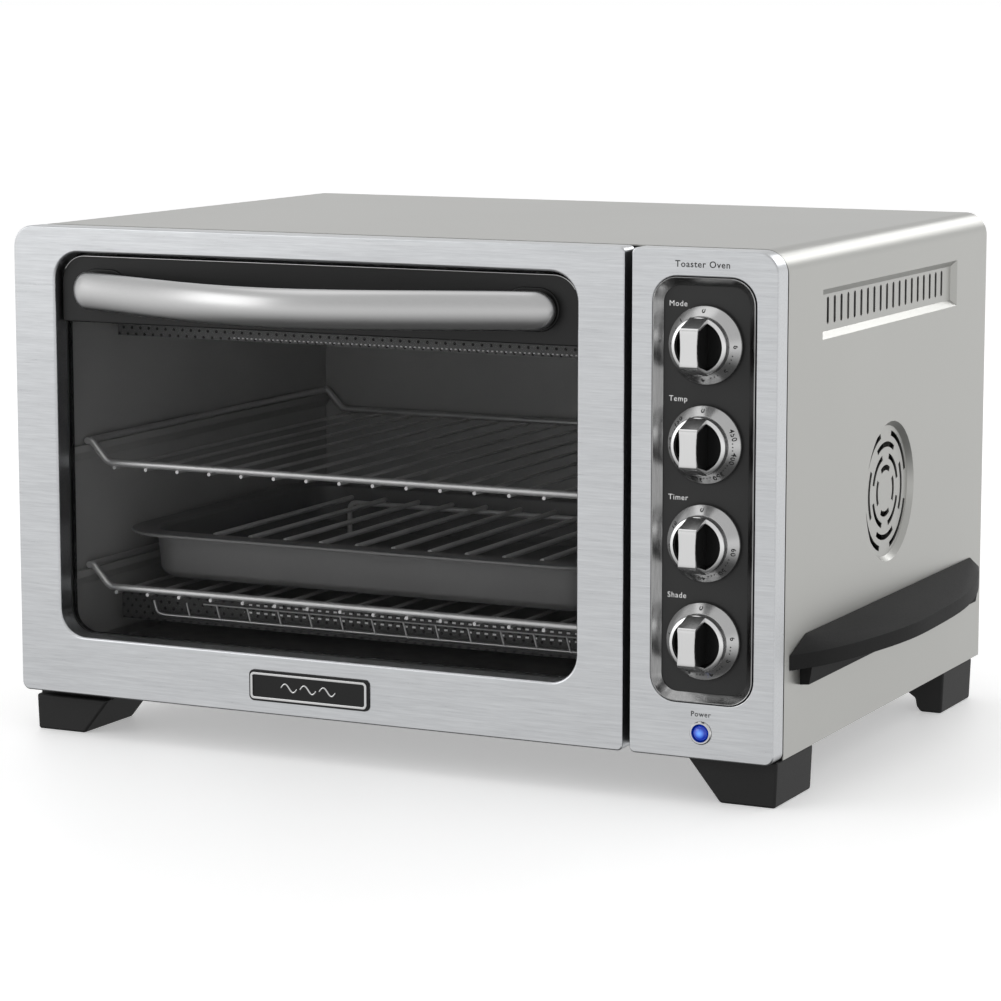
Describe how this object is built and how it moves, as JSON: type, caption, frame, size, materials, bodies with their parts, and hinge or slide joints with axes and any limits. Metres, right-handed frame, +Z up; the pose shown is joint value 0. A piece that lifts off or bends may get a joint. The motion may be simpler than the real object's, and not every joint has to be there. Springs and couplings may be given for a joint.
{
  "type": "toaster oven",
  "caption": "Countertop convection toaster oven with a drop-down glass door, bowed handle, column of knobs, wire racks, drip pan and side fan.",
  "frame": {"origin": "centre of the footprint, on the worktop under the feet", "axes": "+X to the oven's right as seen from the front, +Y to the back, +Z up"},
  "size_m": [0.5138, 0.397, 0.29],
  "materials": {
    "brushed_steel": "fine horizontal brushing",
    "handle_steel": "satin, brushed along the bar",
    "silver_paint": "satin warm light grey",
    "plain_steel": "plain galvanised sheet",
    "black_enamel": "black enamel",
    "cavity_coating": "dull grey non-stick coat",
    "black_plastic": "fine-textured black",
    "chrome": "bright plating",
    "rack_wire": "bright plated wire",
    "nonstick": "dark non-stick",
    "element_sheath": "dull sheathed element",
    "door_glass": "tempered, slightly smoked",
    "blue_lens": "translucent blue",
    "dark_plastic": "moulded"
  },
  "bodies": {
    "oven_body": {"control_fascia": "brushed_steel", "outer_cover": "silver_paint", "back_panel": "silver_paint", "base_pan": "plain_steel", "crumb_tray": "plain_steel", "hinge_ear_left": "plain_steel", "hinge_ear_right": "plain_steel", "fan_housing": "plain_steel", "fan_motor": "plain_steel", "front_frame": "black_enamel", "cavity_left_wall": "cavity_coating", "cavity_right_wall": "cavity_coating", "cavity_roof": "cavity_coating", "cavity_back_wall": "cavity_coating", "foot_front_left": "black_plastic", "foot_front_right": "black_plastic", "foot_rear_left": "black_plastic", "foot_rear_right": "black_plastic", "side_handle_left": "black_plastic", "side_handle_right": "black_plastic", "control_plate": "black_plastic", "cord_gland": "black_plastic", "control_bezel": "chrome", "lamp_ring": "chrome", "lower_element_guard": "rack_wire", "upper_element_shield": "nonstick", "lower_element_shield": "nonstick", "upper_element_front": "element_sheath", "upper_element_rear": "element_sheath", "lower_element_front": "element_sheath", "lower_element_rear": "element_sheath", "power_lamp": "blue_lens", "mode_switch": "dark_plastic", "thermostat": "dark_plastic", "timer": "dark_plastic", "toast_regulator": "dark_plastic"},
    "door": {"door_frame": "brushed_steel", "door_glass": "door_glass", "door_liner": "black_enamel", "handle_band": "black_plastic", "door_handle": "handle_steel", "badge_plate": "chrome", "hinge_arm_left": "plain_steel", "hinge_arm_right": "plain_steel"},
    "upper_rack_body": {"upper_rack": "rack_wire"},
    "lower_rack_body": {"lower_rack": "rack_wire", "drip_pan": "nonstick", "broil_grid": "rack_wire"},
    "fan_rotor": {"convection_fan": "plain_steel", "cooling_fan": "plain_steel", "fan_shaft": "plain_steel"},
    "mode_control": {"mode_knob": "chrome", "mode_spindle": "plain_steel"},
    "temperature_control": {"temperature_knob": "chrome", "temperature_spindle": "plain_steel"},
    "timer_control": {"timer_knob": "chrome", "timer_spindle": "plain_steel"},
    "toast_control": {"toast_knob": "chrome", "toast_spindle": "plain_steel"}
  },
  "joints": [
    {"name": "door_hinge", "type": "hinge", "parent": "oven_body", "child": "door", "pos_m": [-0.0425, -0.136, 0.0318], "axis": [1, 0, 0], "range_deg": [0, 80]},
    {"name": "upper_rack_slide", "type": "slide", "parent": "oven_body", "child": "upper_rack_body", "axis": [0, -1, 0], "range_m": [0, 0.17]},
    {"name": "lower_rack_slide", "type": "slide", "parent": "oven_body", "child": "lower_rack_body", "axis": [0, -1, 0], "range_m": [0, 0.1]},
    {"name": "mode_turn", "type": "hinge", "parent": "oven_body", "child": "mode_control", "pos_m": [0.1895, -0.1445, 0.241], "axis": [0, 1, 0], "range_deg": [0, 270]},
    {"name": "temperature_turn", "type": "hinge", "parent": "oven_body", "child": "temperature_control", "pos_m": [0.1895, -0.1445, 0.1897], "axis": [0, 1, 0], "range_deg": [0, 290]},
    {"name": "timer_turn", "type": "hinge", "parent": "oven_body", "child": "timer_control", "pos_m": [0.1895, -0.1445, 0.1384], "axis": [0, 1, 0], "range_deg": [0, 260]},
    {"name": "toast_turn", "type": "hinge", "parent": "oven_body", "child": "toast_control", "pos_m": [0.1895, -0.1445, 0.0871], "axis": [0, 1, 0], "range_deg": [0, 280]},
    {"name": "fan_spin", "type": "hinge", "parent": "oven_body", "child": "fan_rotor", "pos_m": [0.1475, 0.0305, 0.1455], "axis": [1, 0, 0], "continuous": true}
  ],
  "couplings": [
    {"joint": "upper_rack_slide", "follows": "door_hinge", "m_per_rad": 0.12},
    {"joint": "lower_rack_slide", "follows": "door_hinge", "m_per_rad": 0.068}
  ]
}
